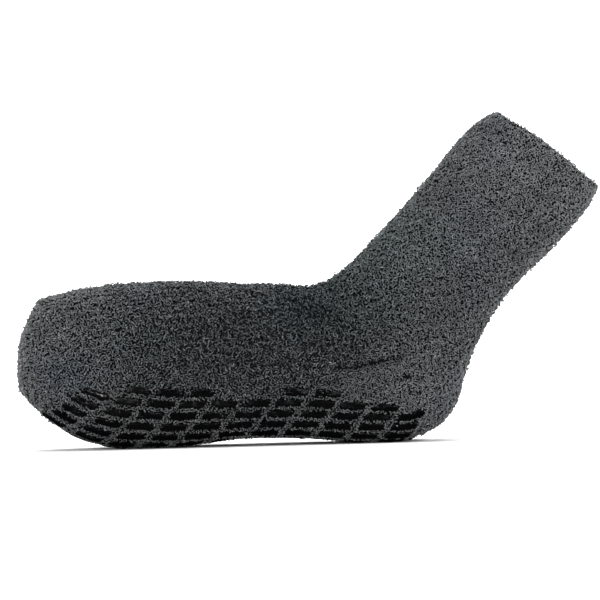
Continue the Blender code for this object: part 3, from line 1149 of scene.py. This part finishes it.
        # Painted shade: loops on raised tufts are lighter, in sunken ones darker.
        shade = shade * (1.0 + self.tuft_shade * tuft)
        level = relief - self.root_depth * (1.0 - self.rim_lift * planted["rim"])
        level = level + self.brick_lift * np.minimum(2.0 * planted["beside"], 1.0)
        level = level + rng.normal(scale=self.jitter, size=count)
        roots = places + normals * level[:, None]
        rows, painted_shading = [], []
        angles = np.arange(self.shape.sides) / self.shape.sides * 2.0 * math.pi + math.pi / 2
        for ring, share, bend in zip(self.shape.rings, self.shape.girths, bends):
            arch = 1.0 - (2.0 * ring - 1.0) ** 4
            lift = rise * arch + self.body_lift * girth + tilt * (ring - 0.5) * girth
            middle = roots + travel * ((ring - 0.5) * length)[:, None] + side * bend[:, None]
            middle = middle + normals * lift[:, None]
            for angle in angles:
                turned = angle + roll
                spoke = side * np.cos(turned)[:, None] + normals * np.sin(turned)[:, None]
                rows.append(middle + spoke * (share * girth / 2)[:, None])
                # Painted shade: each loop is lighter on its upper side and darker low on its flanks.
                facing_up = self.flank_shading + (1.0 - self.flank_shading) * np.sin(turned)
                painted_shading.append(facing_up * shade * (1.0 - soft) + soft)
        for end in (0.0, 1.0):
            lift = (self.end_lift + np.maximum(tilt * (end - 0.5), 0.0)) * girth
            tip = roots + travel * ((end - 0.5) * length)[:, None] + normals * lift[:, None]
            rows.append(tip)
            # Painted shade: the loop's ends are dark.
            painted_shading.append(self.end_shading * shade * (1.0 - soft) + soft)
        verts = np.stack(rows, axis=1)
        verts[:, :, 2] = np.maximum(verts[:, :, 2], self.floor_gap)
        return verts, np.stack(painted_shading, axis=1)

    def zones(self, places: Array) -> dict[Zone, Array]:
        """Which loops belong to each piece of the pile."""
        share = (places[:, 0] - TOE_TIP) / FOOT_LENGTH
        climb = places @ LEG_UP
        ball, arch, heel = self.foot_cuts
        ankle, leg, cuff = self.leg_cuts
        on_leg = climb > ankle
        return {
            Zone.TOE: ~on_leg & (share < ball),
            Zone.BALL: ~on_leg & (share >= ball) & (share < arch),
            Zone.ARCH: ~on_leg & (share >= arch) & (share < heel),
            Zone.HEEL: ~on_leg & (share >= heel),
            Zone.ANKLE: on_leg & (climb <= leg),
            Zone.LEG: (climb > leg) & (climb <= cuff),
            Zone.CUFF: climb > cuff,
        }

    def build(self, surface: KnitSurface, print_rows: GripPrint, seam: ToeSeam) -> list[bpy.types.Object]:
        """Builds the pile as one piece for each zone.

        Args:
            surface: the knitted wall.
            print_rows: the bricks.
            seam: the toe seam.

        Returns:
            The finished pieces.
        """
        planted = self.plant(surface, print_rows, seam)
        verts, painted_shading = self.loops(planted)
        template = self.shape.faces()
        material = self.finish.material()
        places = planted["places"]
        cool, mossy = (np.clip(soft_waves(places, *wave), 0.0, 1.0) for wave in ((0.05, 15), (0.06, 16)))
        blue = gathered(BLUE_PATCHES, places) + self.blue_cast * cool
        green = gathered(GREEN_PATCHES, places) + self.green_cast * mossy
        per_loop = self.shape.vertex_count()
        made = []
        for zone, chosen in self.zones(places).items():
            picked = np.flatnonzero(chosen)
            offsets = (np.arange(len(picked)) * per_loop)[:, None, None]
            faces = (template[None] + offsets).reshape(-1, 3)
            obj = mesh_object(zone.value, verts[picked].reshape(-1, 3), faces)
            # The painted shading is kept as the vertex value tip.
            write_values(obj, "tip", np.clip(painted_shading[picked], 0.0, 1.0).ravel())
            for name, values in (("tone", planted["tone"]), ("blue", blue), ("green", green)):
                write_values(obj, name, np.repeat(np.clip(values[picked], 0.0, 1.0), per_loop))
            obj.data.materials.append(material)
            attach(obj, "root")
            made.append(obj)
        return made


@dataclass(frozen=True)
class SoftBox:
    """A square light: where it hangs, its side, its power in watts and what it faces."""

    name: str
    place: Place
    size: float
    power: float
    target: Place = (0.0, 0.0, 0.08)

    def build(self) -> None:
        """Hangs the light."""
        light = bpy.data.lights.new(self.name, "AREA")
        light.shape = "SQUARE"
        light.size = self.size
        light.energy = self.power
        obj = placed(self.name, light)
        obj.location = self.place
        aim = Vector(self.target) - obj.location
        obj.rotation_euler = aim.to_track_quat("-Z", "Y").to_euler()


SOFT_BOXES = (
    SoftBox("left", (-0.65, -0.45, 0.30), 0.35, 3.6),
    SoftBox("right", (0.45, -0.36, 0.30), 0.35, 2.6),
    SoftBox("low_left", (-0.38, -1.50, 0.03), 0.035, 4.4),
    SoftBox("low_right", (0.34, -1.50, 0.03), 0.035, 4.4),
    SoftBox("top", (0.0, 0.2, 2.2), 1.6, 36.0),
    SoftBox("floor_wash", (0.0, 0.9, 2.4), 2.4, 70.0, (0.0, 0.9, 0.0)),
    SoftBox("back_wash", (0.0, 1.6, 2.2), 2.0, 90.0, (0.0, 3.2, 0.3)),
)


@dataclass
class Studio:
    """The pale floor, the soft lights and the camera."""

    floor_size: float = 8.0
    backdrop: float = 2.5
    curve_steps: int = 12
    distance: float = 2.10
    frame_width: float = 0.3341
    centre: tuple[float, float] = (-0.0025, 0.0799)
    roll: float = math.radians(1.507)
    sensor: float = 36.0
    sky: float = 0.40
    finish: PaleFloor = field(default_factory=PaleFloor)

    def floor(self) -> bpy.types.Object:
        """A wide floor that rises softly into a backdrop behind the sock."""
        half = self.floor_size / 2
        bm = bmesh.new()
        profile = [(-half, 0.0), (self.backdrop, 0.0)]
        for step in range(1, self.curve_steps + 1):
            angle = step / self.curve_steps * math.pi / 2
            profile.append((self.backdrop + math.sin(angle), 1.0 - math.cos(angle)))
        profile.append((self.backdrop + 1.0, half))
        lines = [[bm.verts.new((x, y, z)) for y, z in profile] for x in (-half, half)]
        for i in range(len(profile) - 1):
            bm.faces.new((lines[0][i], lines[1][i], lines[1][i + 1], lines[0][i + 1]))
        obj = finished("studio_floor", bm, self.finish.material())
        # The bricks' gloss mirrors the lamps only, as if black cards stood round the sock.
        obj.visible_glossy = False
        return obj

    def camera(self) -> None:
        """A long lens square to the sock's near side, rolled a little as the photo is."""
        data = bpy.data.cameras.new("camera")
        data.sensor_width = self.sensor
        data.lens = self.sensor * self.distance / self.frame_width
        data.clip_end = 20.0
        obj = placed("camera", data)
        right = Vector((math.cos(self.roll), 0.0, -math.sin(self.roll)))
        up = Vector((math.sin(self.roll), 0.0, math.cos(self.roll)))
        turn = Matrix((right, up, Vector((0.0, -1.0, 0.0)))).transposed()
        stand = Matrix.Translation((self.centre[0], -self.distance, self.centre[1]))
        obj.matrix_world = stand @ turn.to_4x4()
        bpy.context.scene.camera = obj

    def build(self) -> None:
        """Sets up the floor, the lights, the sky and the camera."""
        self.floor()
        for box in SOFT_BOXES:
            box.build()
        world = bpy.data.worlds.new("studio")
        world.use_nodes = True
        sky = world.node_tree.nodes["Background"]
        sky.inputs["Color"].default_value = (1.0, 1.0, 1.0, 1.0)
        sky.inputs["Strength"].default_value = self.sky
        bpy.context.scene.world = world
        # Only a world that the scene already has can be hidden from the gloss.
        world.cycles_visibility.glossy = False
        bpy.context.scene.view_settings.view_transform = "Standard"
        self.camera()


def report(piece: bpy.types.Object) -> None:
    """Logs a piece's name and how many triangles its mesh has."""
    LOG.info("%s: %d triangles", piece.name, triangle_count(piece))


def main() -> None:
    """Builds the sock's pieces in order and sets the studio round them."""
    logging.basicConfig(level=logging.INFO, format="%(message)s")
    surface = GroundShell().build()
    report(surface.piece)
    print_rows = GripPrint()
    for piece in print_rows.build():
        report(piece)
    LOG.info("bricks: %d", len(print_rows.bricks))
    seam = ToeSeam()
    report(seam.build())
    for piece in Pile().build(surface, print_rows, seam):
        report(piece)
    Studio().build()


if __name__ == "__main__":
    main()
